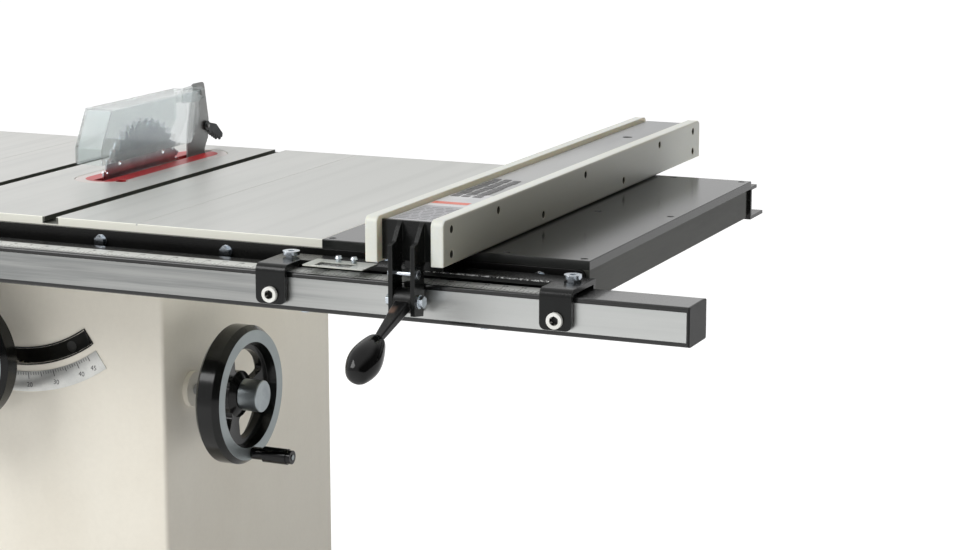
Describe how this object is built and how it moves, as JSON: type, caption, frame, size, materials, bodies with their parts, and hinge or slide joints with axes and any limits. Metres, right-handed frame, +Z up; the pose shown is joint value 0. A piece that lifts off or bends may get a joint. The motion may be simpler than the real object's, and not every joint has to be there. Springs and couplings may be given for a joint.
{
  "type": "table saw",
  "caption": "Cabinet table saw with cast-iron table and wing, black extension table, square front rail, locking rip fence with white face boards, and tilt and height handwheels.",
  "frame": {"origin": "on the floor, under the blade plane, at the middle of the table's depth", "axes": "+X to the operator's right, +Y away from the operator, +Z up"},
  "size_m": [1.6368, 1.1599, 0.978],
  "materials": {
    "cast_iron": "ground top, painted sides and underside",
    "zinc_steel": "zinc plated",
    "red_paint": "gloss red",
    "black_laminate": "satin black laminate",
    "grey_paint": "dark painted edge boards",
    "black_steel": "black oxide",
    "black_paint": "satin to gloss black",
    "black_plastic": "moulded black",
    "brushed_steel": "long horizontal brushing",
    "tape_steel": "light satin metal",
    "white_plastic": "off-white smooth plastic board",
    "grey_steel": "grey steel",
    "black_gloss": "gloss black",
    "cabinet_paint": "warm beige paint",
    "green_plastic": "green button",
    "red_plastic": "red paddle",
    "bright_steel": "machined bright steel",
    "motor_paint": "dark grey paint",
    "belt_rubber": "black belt rubber",
    "dark_steel": "dark blued steel",
    "clear_guard": "clear moulded guard"
  },
  "bodies": {
    "stand": {"main_table": "cast_iron", "right_wing": "cast_iron", "left_wing": "cast_iron", "table_bolts": "zinc_steel", "table_insert": "red_paint", "extension_top": "black_laminate", "extension_frame": "grey_paint", "extension_screws": "black_steel", "front_rail_angle": "black_paint", "rail_tube": "black_paint", "rail_end_caps": "black_plastic", "rail_wear_strip": "brushed_steel", "scale_tape": "tape_steel", "rear_rail": "black_paint", "cabinet": "cabinet_paint", "cabinet_base": "black_paint", "switch_box": "black_plastic", "trunnion_brackets": "cast_iron"},
    "fence": {"fence_carriage": "black_paint", "fence_adjusters": "white_plastic", "carriage_screws": "zinc_steel", "cursor_plate": "tape_steel", "fence_tube": "grey_steel", "fence_face_left": "white_plastic", "fence_face_right": "white_plastic", "face_screws": "black_steel", "rear_glide": "white_plastic", "lock_bracket": "black_paint", "lock_pins": "zinc_steel"},
    "cam_shoe": {"cam_shoe": "black_plastic"},
    "lock_lever": {"lock_lever": "black_paint", "lock_knob": "black_gloss"},
    "motor_door": {"motor_door": "cabinet_paint"},
    "start_button": {"start_button": "green_plastic"},
    "stop_paddle": {"stop_paddle": "red_plastic"},
    "tilt_wheel": {"tilt_handwheel": "black_gloss", "tilt_shaft": "bright_steel"},
    "tilt_lock_knob": {"tilt_lock_knob": "bright_steel"},
    "tilt_crank": {"tilt_crank_handle": "black_gloss"},
    "trunnion": {"front_trunnion": "cast_iron", "rear_trunnion": "cast_iron", "trunnion_yoke": "grey_steel", "splitter": "grey_steel", "tilt_pointer": "red_paint"},
    "height_wheel": {"height_handwheel": "black_gloss", "height_shaft": "bright_steel"},
    "height_lock_knob": {"height_lock_knob": "bright_steel"},
    "height_crank": {"height_crank_handle": "black_gloss"},
    "arbor_arm": {"arbor_arm": "cast_iron", "arbor_bearings": "bright_steel", "motor": "motor_paint", "motor_mount": "grey_steel", "drive_belts": "belt_rubber"},
    "arbor": {"arbor_shaft": "bright_steel", "arbor_nut": "zinc_steel", "blade": "bright_steel"},
    "rotor": {"motor_rotor": "grey_steel"},
    "blade_guard": {"blade_guard": "clear_guard"},
    "pawl_left": {"pawl_left": "dark_steel"},
    "pawl_right": {"pawl_right": "dark_steel"}
  },
  "joints": [
    {"name": "fence_slide", "type": "slide", "parent": "stand", "child": "fence", "axis": [1, 0, 0], "range_m": [-0.615, 0.13]},
    {"name": "lock_lever_lift", "type": "hinge", "parent": "fence", "child": "lock_lever", "pos_m": [0.725, -0.469, 0.82], "axis": [-1, 0, 0], "range_deg": [0, 75]},
    {"name": "cam_shoe_slide", "type": "slide", "parent": "fence", "child": "cam_shoe", "axis": [0, -1, 0], "range_m": [0, 0.0006]},
    {"name": "motor_door_swing", "type": "hinge", "parent": "stand", "child": "motor_door", "pos_m": [-0.258, -0.153, 0.58], "axis": [0, 0, 1], "range_deg": [0, 105]},
    {"name": "start_button_press", "type": "slide", "parent": "stand", "child": "start_button", "axis": [0, 1, 0], "range_m": [0, 0.004]},
    {"name": "stop_paddle_press", "type": "hinge", "parent": "stand", "child": "stop_paddle", "pos_m": [-0.3, -0.44, 0.716], "axis": [1, 0, 0], "range_deg": [0, 6]},
    {"name": "tilt_handwheel_turn", "type": "hinge", "parent": "stand", "child": "tilt_wheel", "pos_m": [0.2, -0.202, 0.5965], "axis": [-1, 0, 0], "range_deg": [0, 8100]},
    {"name": "blade_tilt", "type": "hinge", "parent": "stand", "child": "trunnion", "pos_m": [0, 0, 0.864], "axis": [0, -1, 0], "range_deg": [0, 45]},
    {"name": "tilt_lock_knob_turn", "type": "hinge", "parent": "tilt_wheel", "child": "tilt_lock_knob", "pos_m": [0.3515, -0.202, 0.5965], "axis": [-1, 0, 0], "range_deg": [0, 90]},
    {"name": "tilt_crank_spin", "type": "hinge", "parent": "tilt_wheel", "child": "tilt_crank", "pos_m": [0.3815, -0.202, 0.5105], "axis": [1, 0, 0], "continuous": true},
    {"name": "height_handwheel_turn", "type": "hinge", "parent": "trunnion", "child": "height_wheel", "pos_m": [-0.057, -0.3, 0.64634], "axis": [0, -1, 0], "range_deg": [0, 2250]},
    {"name": "blade_height", "type": "hinge", "parent": "trunnion", "child": "arbor_arm", "pos_m": [-0.057, -0.1, 0.774], "axis": [-1, 0, 0], "range_deg": [0, 25]},
    {"name": "height_lock_knob_turn", "type": "hinge", "parent": "height_wheel", "child": "height_lock_knob", "pos_m": [-0.057, -0.369, 0.64634], "axis": [0, 1, 0], "range_deg": [0, 90]},
    {"name": "height_crank_spin", "type": "hinge", "parent": "height_wheel", "child": "height_crank", "pos_m": [-0.057, -0.4, 0.56034], "axis": [0, 1, 0], "continuous": true},
    {"name": "arbor_spin", "type": "hinge", "parent": "arbor_arm", "child": "arbor", "pos_m": [0, 0.089, 0.816], "axis": [-1, 0, 0], "continuous": true},
    {"name": "motor_spin", "type": "hinge", "parent": "arbor_arm", "child": "rotor", "pos_m": [-0.12, 0.06, 0.62], "axis": [-1, 0, 0], "continuous": true},
    {"name": "guard_lift", "type": "hinge", "parent": "trunnion", "child": "blade_guard", "pos_m": [0, 0.27, 0.962], "axis": [-1, 0, 0], "range_deg": [0, 70]},
    {"name": "pawl_left_swing", "type": "hinge", "parent": "trunnion", "child": "pawl_left", "pos_m": [-0.0035, 0.292, 0.905], "axis": [1, 0, 0], "range_deg": [0, 50]},
    {"name": "pawl_right_swing", "type": "hinge", "parent": "trunnion", "child": "pawl_right", "pos_m": [0.0035, 0.292, 0.905], "axis": [1, 0, 0], "range_deg": [0, 50]}
  ],
  "couplings": [
    {"joint": "blade_tilt", "follows": "tilt_handwheel_turn", "ratio": 0.0055556},
    {"joint": "blade_height", "follows": "height_handwheel_turn", "ratio": 0.011111},
    {"joint": "cam_shoe_slide", "follows": "lock_lever_lift", "m_per_rad": 0.00045791},
    {"joint": "motor_spin", "follows": "arbor_spin", "ratio": 0.80128}
  ]
}
